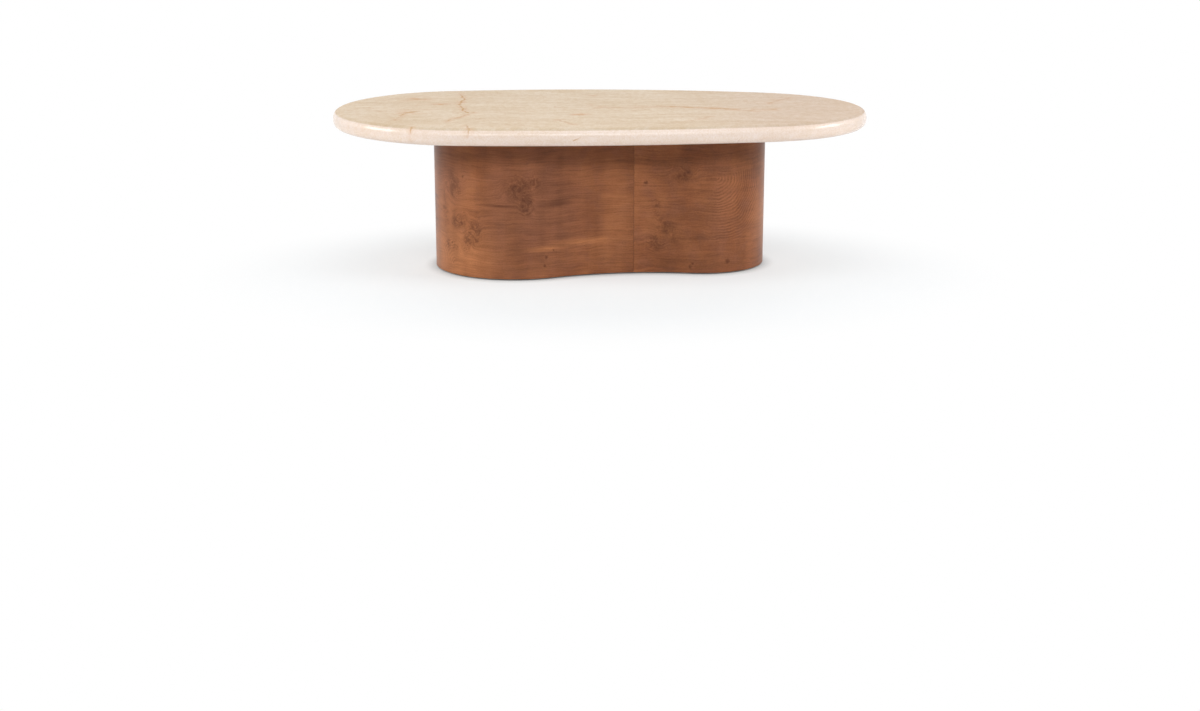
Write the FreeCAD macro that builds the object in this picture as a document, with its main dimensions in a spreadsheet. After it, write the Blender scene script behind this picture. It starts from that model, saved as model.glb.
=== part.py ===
# Marble coffee table: a pebble-shaped stone slab on a waisted, veneered plinth with levelling feet.
# Millimetres. +X runs along the table, +Y to its back, +Z up; the origin is on the floor under the slab's middle.
import FreeCAD, Part
import math
import os

import Sketcher

Vector = FreeCAD.Vector

SIZES = (
    ("table_length", 1193.8, "slab, end to end"),
    ("table_width", 685.8, "slab, front to back"),
    ("table_height", 355.6, "floor to the slab's face, feet screwed in"),
    ("slab_thickness", 38, "marble slab"),
    ("edge_radius", 16, "rounding of the slab's upper and lower edge"),
    ("left_corner_span", 119, "slab's left end, between the middles of its two corners"),
    ("left_corner_difference", 25, "front left corner's radius over the back left one's"),
    ("front_left_end_setback", 38, "corner circle from the slab's left end"),
    ("front_left_side_setback", 3, "corner circle from the slab's front"),
    ("back_left_end_setback", 26, "corner circle from the slab's left end"),
    ("back_left_side_setback", 29, "corner circle from the slab's back"),
    ("right_front_taper", 53, "round right end from the slab's front"),
    ("right_back_taper", 49, "round right end from the slab's back"),
    ("plinth_length", 747, "veneered plinth, end to end"),
    ("plinth_gap", 3, "floor to the plinth's lower edge"),
    ("left_lobe_radius", 184, "plinth's round left end"),
    ("left_lobe_y", -9, "middle of the left lobe"),
    ("right_lobe_radius", 144, "plinth's round right end"),
    ("right_lobe_y", 16, "middle of the right lobe"),
    ("waist_radius", 480, "hollow arc at the plinth's front"),
    ("back_radius", 1500, "flat arc at the plinth's back"),
    ("veneer_thickness", 0.6, "burl leaf"),
    ("glue_line", 0.1, "adhesive between glued faces"),
    ("shell_thickness", 12, "bent plywood"),
    ("seam_x", 75, "where the two halves of the wall meet"),
    ("seam_gap", 0.2, "joint between the two halves"),
    ("strip_width", 70, "joint strip behind a seam"),
    ("strip_thickness", 12, "joint strip behind a seam"),
    ("top_board_thickness", 18, "board under the slab"),
    ("base_board_thickness", 18, "board above the feet"),
    ("base_board_lift", 12, "plinth's lower edge to the base board"),
    ("base_rail", 50, "base board between its edge and an access hole"),
    ("base_bar", 14, "base board between a rib and an access hole"),
    ("rib_thickness", 18, "cross rib"),
    ("left_rib_x", -35, "middle of the left rib"),
    ("right_rib_gap", 9, "right rib to the seam strips"),
    ("centre_hole_radius", 58, "access hole between the ribs"),
    ("centre_hole_y", 30, "middle of that hole"),
    ("bore_room", 0.08, "radial room in a threaded bore"),
    ("nut_flats", 13, "hexagon nut of a foot, across its flats"),
    ("nut_length", 15, "hexagon nut of a foot"),
    ("left_foot_angle", 130, "feet of the left lobe, from the table's length, degrees"),
    ("right_foot_angle", 52, "feet of the right lobe, from the table's length, degrees"),
    ("foot_room", 6, "foot pad to the inside of the wall"),
    ("foot_radius", 20, "foot pad"),
    ("foot_height", 8.5, "foot pad"),
    ("foot_stop_gap", 0.2, "foot's hexagon to the base board, screwed in"),
    ("stud_radius", 4, "threaded stud"),
    ("stud_length", 42, "stud above its hexagon"),
    ("stud_flats", 13, "hexagon, across its flats"),
)

# Places and heights that follow from the sizes
SLAB_LOW = "(Sizes.table_height - Sizes.slab_thickness)"
TOP_BOARD_LOW = f"({SLAB_LOW} - Sizes.top_board_thickness)"
BASE_BOARD_LOW = "(Sizes.plinth_gap + Sizes.base_board_lift)"
BASE_BOARD_HIGH = f"({BASE_BOARD_LOW} + Sizes.base_board_thickness)"
PLINTH_HEIGHT = f"({SLAB_LOW} - Sizes.plinth_gap)"
RIB_HEIGHT = f"({TOP_BOARD_LOW} - {BASE_BOARD_HIGH})"

SHELL_INSET = "(Sizes.veneer_thickness + Sizes.glue_line)"
SHELL_INNER_INSET = f"({SHELL_INSET} + Sizes.shell_thickness)"
BOARD_INSET = f"({SHELL_INNER_INSET} + Sizes.glue_line)"
STRIP_INNER_INSET = f"({BOARD_INSET} + Sizes.strip_thickness)"

LEFT_LOBE = ("(-Sizes.plinth_length / 2 + Sizes.left_lobe_radius)", "Sizes.left_lobe_y")
RIGHT_LOBE = ("(Sizes.plinth_length / 2 - Sizes.right_lobe_radius)", "Sizes.right_lobe_y")
RIGHT_RIB_X = "(Sizes.seam_x + Sizes.strip_width / 2 + Sizes.right_rib_gap + Sizes.rib_thickness / 2)"
RIB_PLACES = {"left_rib": "Sizes.left_rib_x", "right_rib": RIGHT_RIB_X}
BAY_X = f"((Sizes.left_rib_x + {RIGHT_RIB_X}) / 2)"
STRIP_EDGES = ("Sizes.seam_x - Sizes.strip_width / 2", "Sizes.seam_x + Sizes.strip_width / 2")


def foot_place(lobe, lobe_radius, angle, sign):
    """Middle of a foot: on a circle about a lobe that keeps the pad clear of the wall's inside."""
    reach = f"({lobe_radius} - {BOARD_INSET} - Sizes.foot_room - Sizes.foot_radius)"
    x, y = lobe
    return f"{x} + {reach} * cos({angle} * 1 deg)", f"{y} {sign} {reach} * sin({angle} * 1 deg)"


LEFT_FOOT = (LEFT_LOBE, "Sizes.left_lobe_radius", "Sizes.left_foot_angle")
RIGHT_FOOT = (RIGHT_LOBE, "Sizes.right_lobe_radius", "Sizes.right_foot_angle")
FEET = {
    "front_left": foot_place(*LEFT_FOOT, "-"),
    "front_right": foot_place(*RIGHT_FOOT, "-"),
    "back_left": foot_place(*LEFT_FOOT, "+"),
    "back_right": foot_place(*RIGHT_FOOT, "+"),
}

doc = FreeCAD.newDocument("coffee_table")
sheet = doc.addObject("Spreadsheet::Sheet", "Sizes")
for row, (alias, number, note) in enumerate(SIZES, 1):
    sheet.set(f"A{row}", alias)
    sheet.set(f"B{row}", str(number))
    sheet.setAlias(f"B{row}", alias)
    sheet.set(f"C{row}", note)
doc.recompute()
subparts = []


def value(expression):
    """The number that an expression of the sheet's sizes has now."""
    return float(sheet.evalExpression(expression))


# Sketches and features

def new_body(label, low, place=None):
    """A sub-part whose own origin stands at the height low, and at a place in plan if one is given."""
    body = doc.addObject("PartDesign::Body", label)
    body.Label = label
    body.AllowCompound = True
    body.setExpression("Placement.Base.z", low)
    if place:
        body.setExpression("Placement.Base.x", place[0])
        body.setExpression("Placement.Base.y", place[1])
    subparts.append(body)
    return body


def new_sketch(body, name, height=None):
    """A sketch on the body's own level plane, raised by a height if one is given."""
    sketch = body.newObject("Sketcher::SketchObject", name)
    plane = next(feature for feature in body.Origin.OriginFeatures if feature.Role == "XY_Plane")
    sketch.AttachmentSupport = [(plane, "")]
    sketch.MapMode = "FlatFace"
    if height:
        sketch.setExpression("AttachmentOffset.Base.z", height)
    return sketch


def dimension(sketch, expression, kind, *where):
    """A dimension whose value follows an expression."""
    index = sketch.addConstraint(Sketcher.Constraint(kind, *where, value(expression)))
    sketch.setExpression(f"Constraints[{index}]", expression)


def locate(sketch, geometry, point, x, y):
    """Dimensions from the sketch's origin to a point of a geometry; a zero puts it on the axis."""
    for kind, axis, expression in (("DistanceX", -2, x), ("DistanceY", -1, y)):
        if expression == "0":
            sketch.addConstraint(Sketcher.Constraint("PointOnObject", geometry, point, axis))
        else:
            dimension(sketch, expression, kind, -1, 1, geometry, point)


def add_circles(sketch, spots, radius):
    """One circle of the same radius round each spot."""
    for x, y in spots:
        circle = Part.Circle(Vector(value(x), value(y), 0), Vector(0, 0, 1), value(radius))
        geometry = sketch.addGeometry(circle, False)
        locate(sketch, geometry, 3, x, y)
        dimension(sketch, radius, "Radius", geometry)


def add_polygon(sketch, points, construction=False):
    """Straight lines from each point to the next and back to the first; the line numbers are returned."""
    corners = [Vector(value(x), value(y), 0) for x, y in points]
    lines = []
    for start, end in zip(corners, corners[1:] + corners[:1]):
        lines.append(sketch.addGeometry(Part.LineSegment(start, end), construction))
    for line, following, (x, y) in zip(lines, lines[1:] + lines[:1], points[1:] + points[:1]):
        sketch.addConstraint(Sketcher.Constraint("Coincident", line, 2, following, 1))
        locate(sketch, following, 1, x, y)
    return lines


def add_hexagons(sketch, spots, flats):
    """A hexagon of the given width across its flats round each spot."""
    reach = f"(({flats}) / sqrt(3))"
    for x, y in spots:
        add_polygon(sketch, [(f"{x} + {reach} * cos({turn} deg)", f"{y} + {reach} * sin({turn} deg)")
                             for turn in range(0, 360, 60)])


def add_rectangle(sketch, west, east, south, north, construction=False):
    """A rectangle; its front, right, back and left lines are returned."""
    corners = [(west, south), (east, south), (east, north), (west, north)]
    return add_polygon(sketch, corners, construction)


def add_loop(sketch, circles):
    """Arcs on circles, each tangent to the next, anticlockwise; a circle of negative radius gives a hollow arc.

    Circles i and j touch at centre_i + (centre_j - centre_i) * radius_i / (radius_i - radius_j).
    """
    following = circles[1:] + circles[:1]
    joints = []
    for (centre, radius), (other, other_radius) in zip(circles, following):
        joints.append(centre + (other - centre) * (radius / (radius - other_radius)))
    arcs = []
    for index, (centre, radius) in enumerate(circles):
        ends = [joints[index - 1] - centre, joints[index] - centre]
        if radius < 0:
            ends.reverse()
        start, stop = (math.atan2(end.y, end.x) for end in ends)
        circle = Part.Circle(centre, Vector(0, 0, 1), abs(radius))
        arcs.append(sketch.addGeometry(Part.ArcOfCircle(circle, start, stop), False))
    for arc, next_arc, (_, radius), (_, next_radius) in zip(arcs, arcs[1:] + arcs[:1], circles, following):
        leave = 2 if radius > 0 else 1
        arrive = 1 if next_radius > 0 else 2
        sketch.addConstraint(Sketcher.Constraint("Tangent", arc, leave, next_arc, arrive))
    return arcs


def pad(body, sketch, length, down=False):
    feature = body.newObject("PartDesign::Pad", "Pad")
    feature.Profile = sketch
    feature.setExpression("Length", length)
    feature.Reversed = down
    doc.recompute()
    return feature


def cut_through(body, sketch):
    """A cut upwards from the sketch through the whole body."""
    volume = body.Shape.Volume
    feature = body.newObject("PartDesign::Pocket", "Cut")
    feature.Profile = sketch
    feature.Reversed = True
    feature.Type = "ThroughAll"
    doc.recompute()
    if body.Shape.Volume >= volume:
        raise ValueError(f"{body.Label}: {feature.Label} cuts nothing")


def drill(body, spots, radius):
    """A hole right through at each spot."""
    sketch = new_sketch(body, "Holes")
    add_circles(sketch, spots, radius)
    cut_through(body, sketch)


# Plan outlines

def touching_arc(span, near, far):
    """Radius of the arc that touches a side and runs round two circles, and how far past the first it touches.

    A circle is its radius and its setback from the side, and span is the distance between the two along it. The
    arc of radius R touches the side sqrt(setback * (2 R - 2 radius - setback)) past a circle.
    """
    def past(arc, circle):
        radius, setback = circle
        return math.sqrt(max(setback * (2 * arc - 2 * radius - setback), 0))

    low = max(radius + setback / 2 for radius, setback in (near, far))
    high = low + span**2 / min(near[1], far[1])
    while high - low > 1e-9 * high:
        middle = (low + high) / 2
        if past(middle, near) + past(middle, far) < span:
            low = middle
        else:
            high = middle
    return high, past(high, near)


def slab_outline(sketch):
    """The pebble: two left corners and a round right end, joined by arcs that touch the front, back and left."""
    half_length, half_width = "Sizes.table_length / 2", "Sizes.table_width / 2"
    corner_sum = ("(Sizes.table_width - Sizes.front_left_side_setback - Sizes.back_left_side_setback"
                  " - Sizes.left_corner_span)")
    front_radius = f"({corner_sum} + Sizes.left_corner_difference) / 2"
    back_radius = f"({corner_sum} - Sizes.left_corner_difference) / 2"
    end_radius = "(Sizes.table_width - Sizes.right_front_taper - Sizes.right_back_taper) / 2"
    front_place = (f"-{half_length} + Sizes.front_left_end_setback + {front_radius}",
                   f"-{half_width} + Sizes.front_left_side_setback + {front_radius}")
    back_place = (f"-{half_length} + Sizes.back_left_end_setback + {back_radius}",
                  f"{half_width} - Sizes.back_left_side_setback - {back_radius}")
    end_place = (f"{half_length} - {end_radius}", "(Sizes.right_front_taper - Sizes.right_back_taper) / 2")
    front, back, end = (Vector(value(x), value(y), 0) for x, y in (front_place, back_place, end_place))
    r_front, r_back, r_end = value(front_radius), value(back_radius), value(end_radius)

    r_front_side, past_front = touching_arc(
        end.x - front.x, (r_front, sheet.front_left_side_setback), (r_end, sheet.right_front_taper))
    r_back_side, past_back = touching_arc(
        end.x - back.x, (r_back, sheet.back_left_side_setback), (r_end, sheet.right_back_taper))
    r_left, past_left = touching_arc(
        back.y - front.y, (r_front, sheet.front_left_end_setback), (r_back, sheet.back_left_end_setback))
    circles = [
        (front, r_front),
        (Vector(front.x + past_front, r_front_side - value(half_width), 0), r_front_side),
        (end, r_end),
        (Vector(back.x + past_back, value(half_width) - r_back_side, 0), r_back_side),
        (back, r_back),
        (Vector(r_left - value(half_length), front.y + past_left, 0), r_left),
    ]
    front_corner, front_side, right_end, back_side, back_corner, left_end = add_loop(sketch, circles)
    for arc, place, radius in ((front_corner, front_place, front_radius), (back_corner, back_place, back_radius),
                               (right_end, end_place, end_radius)):
        locate(sketch, arc, 3, *place)
        dimension(sketch, radius, "Radius", arc)
    sides = add_rectangle(sketch, f"-{half_length}", half_length, f"-{half_width}", half_width, construction=True)
    front_line, _, back_line, left_line = sides
    for arc, line in ((front_side, front_line), (back_side, back_line), (left_end, left_line)):
        sketch.addConstraint(Sketcher.Constraint("Tangent", arc, line))


def circles_meet(first, first_reach, second, second_reach):
    """The point at the given distances from two others, on the right of the way from the first to the second."""
    way = second - first
    span = way.Length
    along = (first_reach**2 - second_reach**2 + span**2) / (2 * span)
    across = math.sqrt(first_reach**2 - along**2)
    return first + way * (along / span) + Vector(way.y, -way.x, 0) * (across / span)


def plinth_outline(sketch, inset):
    """The plinth, drawn in by inset: left lobe, hollow waist, right lobe and flat back, all tangent."""
    left, right = (Vector(value(x), value(y), 0) for x, y in (LEFT_LOBE, RIGHT_LOBE))
    r_left, r_right = sheet.left_lobe_radius, sheet.right_lobe_radius
    r_waist, r_back = sheet.waist_radius, sheet.back_radius
    waist = circles_meet(left, r_waist + r_left, right, r_waist + r_right)
    back = circles_meet(left, r_back - r_left, right, r_back - r_right)
    drawn_in = value(inset)
    circles = [(left, r_left - drawn_in), (waist, -r_waist - drawn_in),
               (right, r_right - drawn_in), (back, r_back - drawn_in)]
    arcs = add_loop(sketch, circles)
    locate(sketch, arcs[0], 3, *LEFT_LOBE)
    locate(sketch, arcs[2], 3, *RIGHT_LOBE)
    radii = (f"Sizes.left_lobe_radius - {inset}", f"Sizes.waist_radius + {inset}",
             f"Sizes.right_lobe_radius - {inset}", f"Sizes.back_radius - {inset}")
    for arc, radius in zip(arcs, radii):
        dimension(sketch, radius, "Radius", arc)


def trim(body, west=None, east=None, south=None, north=None):
    """Cut away what lies outside a window in plan; a side that isn't given stays whole."""
    beyond = "Sizes.plinth_length"
    sketch = new_sketch(body, "Window")
    add_rectangle(sketch, f"-2 * {beyond}", f"2 * {beyond}", f"-2 * {beyond}", f"2 * {beyond}")
    add_rectangle(sketch, west or f"-{beyond}", east or beyond, south or f"-{beyond}", north or beyond)
    cut_through(body, sketch)


# Sub-parts

def marble_top():
    body = new_body("marble_top", SLAB_LOW)
    sketch = new_sketch(body, "Outline")
    slab_outline(sketch)
    slab = pad(body, sketch, "Sizes.slab_thickness")
    flat_faces = [f"Face{number}" for number, face in enumerate(slab.Shape.Faces, 1)
                  if face.Surface.TypeId == "Part::GeomPlane"]
    edge = body.newObject("PartDesign::Fillet", "Edge")
    edge.Base = (slab, flat_faces)
    edge.setExpression("Radius", "min(Sizes.edge_radius; 0.45 * Sizes.slab_thickness)")
    doc.recompute()


def plinth_top_board():
    body = new_body("plinth_top_board", SLAB_LOW)
    sketch = new_sketch(body, "Outline")
    plinth_outline(sketch, BOARD_INSET)
    pad(body, sketch, "Sizes.top_board_thickness", down=True)


def plinth_base_board():
    """The board above the feet, with a hand hole in each of the three bays and a mortise for each nut."""
    body = new_body("plinth_base_board", BASE_BOARD_LOW)
    sketch = new_sketch(body, "Outline")
    plinth_outline(sketch, BOARD_INSET)
    pad(body, sketch, "Sizes.base_board_thickness")
    half_bar = "(Sizes.rib_thickness / 2 + Sizes.base_bar)"
    wall_and_rail = f"({BOARD_INSET} + Sizes.base_rail)"
    left_radius = (f"min(Sizes.left_lobe_radius - {wall_and_rail};"
                   f" Sizes.left_rib_x - {half_bar} - {LEFT_LOBE[0]})")
    right_radius = (f"min(Sizes.right_lobe_radius - {wall_and_rail};"
                    f" {RIGHT_LOBE[0]} - {RIGHT_RIB_X} - {half_bar})")
    centre_radius = f"min(Sizes.centre_hole_radius; ({RIGHT_RIB_X} - Sizes.left_rib_x) / 2 - {half_bar})"
    drill(body, [LEFT_LOBE], left_radius)
    drill(body, [RIGHT_LOBE], right_radius)
    drill(body, [(BAY_X, "Sizes.centre_hole_y")], centre_radius)
    mortises = new_sketch(body, "Mortises")
    add_hexagons(mortises, FEET.values(), "Sizes.nut_flats + 2 * Sizes.glue_line")
    cut_through(body, mortises)


def rib(label):
    """An upright cross rib, its ends shaped to the inside of the wall."""
    body = new_body(label, BASE_BOARD_HIGH)
    sketch = new_sketch(body, "Outline")
    plinth_outline(sketch, BOARD_INSET)
    pad(body, sketch, RIB_HEIGHT)
    middle = RIB_PLACES[label]
    trim(body, west=f"{middle} - Sizes.rib_thickness / 2", east=f"{middle} + Sizes.rib_thickness / 2")


def wall_piece(label, low, height, outer, inner, **window):
    """A bent piece of the plinth's wall, between two insets of the outline and within a window in plan."""
    body = new_body(label, low)
    sketch = new_sketch(body, "Wall")
    plinth_outline(sketch, outer)
    plinth_outline(sketch, inner)
    pad(body, sketch, height)
    trim(body, **window)


def plinth_wall():
    """Two bent shells, the two veneer leaves on them, and the strips that join them inside."""
    halves = {"left": {"east": "Sizes.seam_x - Sizes.seam_gap / 2"},
              "right": {"west": "Sizes.seam_x + Sizes.seam_gap / 2"}}
    for side, window in halves.items():
        wall_piece(f"shell_{side}", "Sizes.plinth_gap", PLINTH_HEIGHT, SHELL_INSET, SHELL_INNER_INSET, **window)
        wall_piece(f"veneer_{side}", "Sizes.plinth_gap", PLINTH_HEIGHT, "0", "Sizes.veneer_thickness", **window)
    west, east = STRIP_EDGES
    for side, window in {"front": {"north": RIGHT_LOBE[1]}, "back": {"south": RIGHT_LOBE[1]}}.items():
        wall_piece(f"{side}_seam_strip", BASE_BOARD_HIGH, RIB_HEIGHT, BOARD_INSET, STRIP_INNER_INSET,
                   west=west, east=east, **window)


def foot_nuts(side):
    """The two hexagon nuts let into one end of the base board, flush with its lower face."""
    body = new_body(f"{side}_foot_nuts", BASE_BOARD_LOW)
    spots = [place for corner, place in FEET.items() if corner.endswith(side)]
    sketch = new_sketch(body, "Nuts")
    add_hexagons(sketch, spots, "Sizes.nut_flats")
    add_circles(sketch, spots, "Sizes.stud_radius + Sizes.bore_room")
    pad(body, sketch, "Sizes.nut_length")


def levelling_foot(corner):
    """A foot pad, and the hexagon on it with the stud that turns in the nut above."""
    place = FEET[corner]
    foot = new_body(f"foot_pad_{corner}", "0", place)
    disc = new_sketch(foot, "Disc")
    add_circles(disc, [("0", "0")], "Sizes.foot_radius")
    pad(foot, disc, "Sizes.foot_height")
    stud = new_body(f"foot_stud_{corner}", "Sizes.foot_height", place)
    hexagon_height = f"({BASE_BOARD_LOW} - Sizes.foot_stop_gap - Sizes.foot_height)"
    hexagon = stud.newObject("PartDesign::AdditivePrism", "Hexagon")
    hexagon.Polygon = 6
    hexagon.setExpression("Circumradius", "Sizes.stud_flats / sqrt(3)")
    hexagon.setExpression("Height", hexagon_height)
    shank = new_sketch(stud, "Shank", height=hexagon_height)
    add_circles(shank, [("0", "0")], "Sizes.stud_radius")
    pad(stud, shank, "Sizes.stud_length")


def check_and_write():
    """Stop if anything failed; otherwise write each sub-part to a file named for it."""
    doc.recompute()
    failed = [item.Name for item in doc.Objects if {"Invalid", "Error"} & set(item.State)]
    failed += [body.Label for body in subparts if body.Shape.isNull() or not body.Shape.isValid()]
    if failed:
        raise RuntimeError(f"failed: {failed}")
    os.makedirs("parts", exist_ok=True)
    for body in subparts:
        body.Shape.exportStep(f"parts/{body.Label}.step")
        print(f"{body.Label}: {len(body.Shape.Solids)} solids, {body.Shape.Volume / 1000:.1f} cm3")


marble_top()
plinth_top_board()
plinth_base_board()
for rib_label in RIB_PLACES:
    rib(rib_label)
plinth_wall()
for nut_side in ("left", "right"):
    foot_nuts(nut_side)
for foot_corner in FEET:
    levelling_foot(foot_corner)
check_and_write()
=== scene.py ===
import math
from functools import partialmethod, reduce
from typing import NamedTuple

import bpy
import numpy as np
from bpy.props import FloatProperty, FloatVectorProperty, PointerProperty
from bpy.types import Operator, Panel, PropertyGroup
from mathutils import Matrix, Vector


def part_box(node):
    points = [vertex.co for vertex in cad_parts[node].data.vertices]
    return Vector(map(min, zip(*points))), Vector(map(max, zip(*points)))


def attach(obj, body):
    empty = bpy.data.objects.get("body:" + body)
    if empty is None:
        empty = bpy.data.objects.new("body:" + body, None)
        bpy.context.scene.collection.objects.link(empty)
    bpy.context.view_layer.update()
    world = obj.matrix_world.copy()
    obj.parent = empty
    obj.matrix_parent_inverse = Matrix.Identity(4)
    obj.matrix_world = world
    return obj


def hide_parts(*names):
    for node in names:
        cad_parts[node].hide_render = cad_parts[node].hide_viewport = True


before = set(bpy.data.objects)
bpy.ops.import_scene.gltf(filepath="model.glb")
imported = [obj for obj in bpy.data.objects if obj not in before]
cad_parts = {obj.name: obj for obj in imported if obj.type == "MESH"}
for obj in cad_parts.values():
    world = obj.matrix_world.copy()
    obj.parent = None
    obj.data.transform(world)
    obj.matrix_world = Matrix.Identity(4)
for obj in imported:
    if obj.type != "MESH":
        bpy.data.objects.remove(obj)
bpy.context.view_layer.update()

bl_info = {
    "name": "Marble Coffee Table",
    "version": (1, 0, 0),
    "blender": (4, 5, 0),
    "location": "3D View > Sidebar > Coffee Table",
    "description": "Dresses a coffee table in marble, burl veneer and plywood, on a studio floor",
    "category": "Object",
}

SLAB_LOW, SLAB_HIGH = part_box("marble_top")
WALL_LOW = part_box("veneer_left")[0]
BASE_BOARD_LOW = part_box("plinth_base_board")[0]
TOP_BOARD_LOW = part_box("plinth_top_board")[0]
CORNERS = ("front_left", "front_right", "back_left", "back_right")

# A millimetre in metres, for the tables of the stone's and the veneer's figure
MM = 0.001
# Picture width in pixels, and sensor width in millimetres
IMAGE_WIDTH, SENSOR_WIDTH = 1200, 36
# Edges sharper than this stay crisp
SHARP_ANGLE = math.radians(35)
# Middle of a noise's colour, and how far the veins' noise is pressed flat on the edge
MID_GREY, EDGE_FLATTENING = (0.5, 0.5, 0.5), 0.25
# Thickness of a ply, step of the growth rings, and the height under which a zone keeps a tight outline
PLY, RING_PITCH, NARROW_ZONE = 0.0015, 0.0066, 0.02
# Tint of the floor's shadow, and where each leaf's figure is cut from its noise
FLOOR_TINT = (0.95, 1.0, 1.03)
LEAF_OFFSETS = {"left": (0.0, 0.0, 0.0), "right": (2.37, 0.61, 1.3)}

# Veins on the slab's face: strength, half width and the points that each runs through
VEINS = (
    (0.80, 2.2, ((-439, -206), (-435, -138), (-424, -80))),
    (0.95, 2.4, ((-334, 248), (-315, 142), (-319, 65), (-303, -56), (-284, -92), (-277, -80))),
    (0.70, 2, ((-284, -92), (-314, -183), (-325, -238))),
    (0.85, 2.2, ((-282, -282), (-276, -345))),
    (0.60, 1.8, ((-393, -300), (-388, -345))),
    (0.65, 3, ((-89, -206), (-73, -243), (-57, -271))),
    (0.50, 3, ((-50, -122), (-37, -108))),
    (0.45, 4, ((-24, 216), (-12, 205))),
    (0.45, 4, ((-18, 41), (-2, 16))),
    (0.45, 5.5, ((0, -8), (80, 4), (161, 16))),
    (0.85, 4.8, ((161, 16), (271, -21), (335, -61))),
    (0.65, 5.5, ((345, -38), (392, -33))),
    (0.35, 5, ((384, 65), (413, 129), (446, 168))),
    (0.30, 3, ((170, -234), (215, -194), (236, -149))),
    (0.50, 8.5, ((-426, -100), (-408, -62))),
    (0.32, 12, ((-445, 128), (-405, 150))),
    (0.28, 10, ((-372, 50), (-350, 58))),
)
# Smudges on the face: place and reach
SMUDGES = ((-424, -98, 30), (-425, 144, 35), (-365, 54, 25), (-44, -115, 28))
# Dark fleck on the front edge: its two ends
FLECK = ((-56, -341, 331), (-40, -341, 339))

# Burls on the veneer: strength, place along the wall and above the floor, half length, half height, turn
BURLS = (
    (1.00, -262, 204, 30, 26, 1.9), (0.90, -246, 170, 18, 24, -1.5), (0.75, -230, 214, 16, 12, 1.0),
    (0.65, -428, 200, 30, 34, 1.4), (0.55, -456, 152, 14, 50, -0.8), (0.72, -410, 126, 24, 22, -2.8),
    (0.85, -366, 104, 15, 38, 1.2), (0.60, -386, 82, 18, 26, -1.2), (0.60, -440, 70, 28, 22, -1.6),
    (0.30, -392, 262, 18, 12, 1.3), (0.85, -590, 142, 40, 34, 1.6), (0.75, -640, 134, 30, 30, -1.4),
    (0.80, -535, 150, 34, 32, -1.2), (0.65, -520, 108, 22, 24, 1.8), (0.60, -585, 95, 24, 36, 0.8),
    (0.90, -722, 165, 24, 34, 1.5), (0.75, -745, 105, 22, 40, -1.7), (0.60, -715, 52, 20, 18, 1.3),
    (0.40, -735, 250, 26, 18, -1.0), (0.90, -880, 210, 36, 30, 1.5), (0.60, -940, 165, 20, 36, -1.3),
    (0.75, -1020, 90, 30, 30, -1.6), (0.62, 108, 222, 26, 18, 2.2), (0.60, 70, 108, 20, 20, -1.6),
    (0.50, 52, 150, 10, 22, 0.8), (0.55, 46, 70, 22, 22, 1.5), (0.40, 88, 92, 16, 30, -0.9),
    (0.80, 450, 130, 36, 30, 1.5), (0.60, 500, 100, 20, 36, -1.2), (0.90, 620, 205, 32, 28, -1.6),
)
# Small knots: place along the wall and above the floor, and radius
KNOTS = (
    (101, 221, 6), (111, 225, 4.5), (120, 229, 4), (26, 206, 5), (212, 28, 6.5), (126, 16, 5.5),
    (132, 24, 3), (-206, 30, 4), (-203, 50, 4.5), (-186, 64, 3), (-396, 224, 4.5), (-660, 70, 5),
    (-800, 120, 6), (380, 50, 5), (560, 240, 6),
)
# Growth rings on the veneer: place along the wall and above the floor, reach, and the way they open
RINGS = ((186, 215, 165, -0.75), (-424, 30, 60, 2.60), (560, 60, 110, 1.20))
# Zones of the veneer by tint: strength, place along the wall and above the floor, half length, half height
ZONES = {
    # Mauve is a dusky tint greyed by painted sheen; the two narrow upright zones are painted sheen, and the
    # one high on the left lobe is painted shade
    "mauve_sheen_and_shade": (
        (0.75, -205, 165, 110, 170), (0.60, -312, 150, 30, 190), (0.45, 190, 150, 30, 190),
        (0.80, -440, 215, 60, 50),
    ),
    "amber": (
        (0.50, -620, 100, 180, 170), (1.00, -430, 45, 140, 80), (0.30, -410, 170, 100, 80),
        (0.80, -205, 69, 55, 7), (0.90, -110, 78, 80, 8), (0.45, -40, 130, 45, 130),
        (0.60, 345, 120, 70, 75), (0.60, -640, 210, 120, 40), (0.60, -930, 60, 140, 60),
        (0.50, 620, 100, 120, 90),
    ),
    "dark": (
        (0.42, -178, 168, 42, 11), (0.60, -310, 166, 45, 3.5), (0.30, -524, 166, 34, 7),
        (0.30, -720, 225, 50, 20), (0.40, 275, 232, 45, 40),
    ),
}


# Settings

def number(name, description, default, **kind):
    return FloatProperty(name=name, description=description, default=default, **kind)


def length(name, description, default):
    return number(name, description, default, unit="LENGTH", precision=4)


def colour(name, description, default):
    return FloatVectorProperty(name=name, description=description, default=default,
                               subtype="COLOR", min=0, max=1)


class SlabSettings(PropertyGroup):
    edge_radius: length("Edge radius", "Rounding of the upper and lower edge", 0.016)
    corner_span: length("Corner span", "Left end, between the middles of its two corners", 0.119)
    corner_difference: length("Corner difference", "Front left radius over the back left one", 0.025)
    front_end_setback: length("Front end setback", "Front left corner's circle from the left end", 0.038)
    front_side_setback: length("Front side setback", "Front left corner's circle from the front", 0.003)
    back_end_setback: length("Back end setback", "Back left corner's circle from the left end", 0.026)
    back_side_setback: length("Back side setback", "Back left corner's circle from the back", 0.029)
    front_taper: length("Front taper", "Round right end from the front", 0.053)
    back_taper: length("Back taper", "Round right end from the back", 0.049)
    edge_break: number("Edge break", "Where the polished edge starts on its rounding", math.radians(44),
                       subtype="ANGLE")
    cream: colour("Cream", "Ground of the marble", (0.715, 0.567, 0.410))
    pale: colour("Pale", "Light clouds in the marble", (0.795, 0.665, 0.522))
    edge: colour("Edge", "Polished edge of the marble", (0.80, 0.670, 0.585))
    vein: colour("Vein", "Thin golden veins", (0.56, 0.315, 0.135))
    blush: colour("Blush", "Faint rosy smudges", (0.68, 0.44, 0.27))
    rose: colour("Rose", "Rosy right part of the marble", (0.70, 0.545, 0.45))


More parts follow.
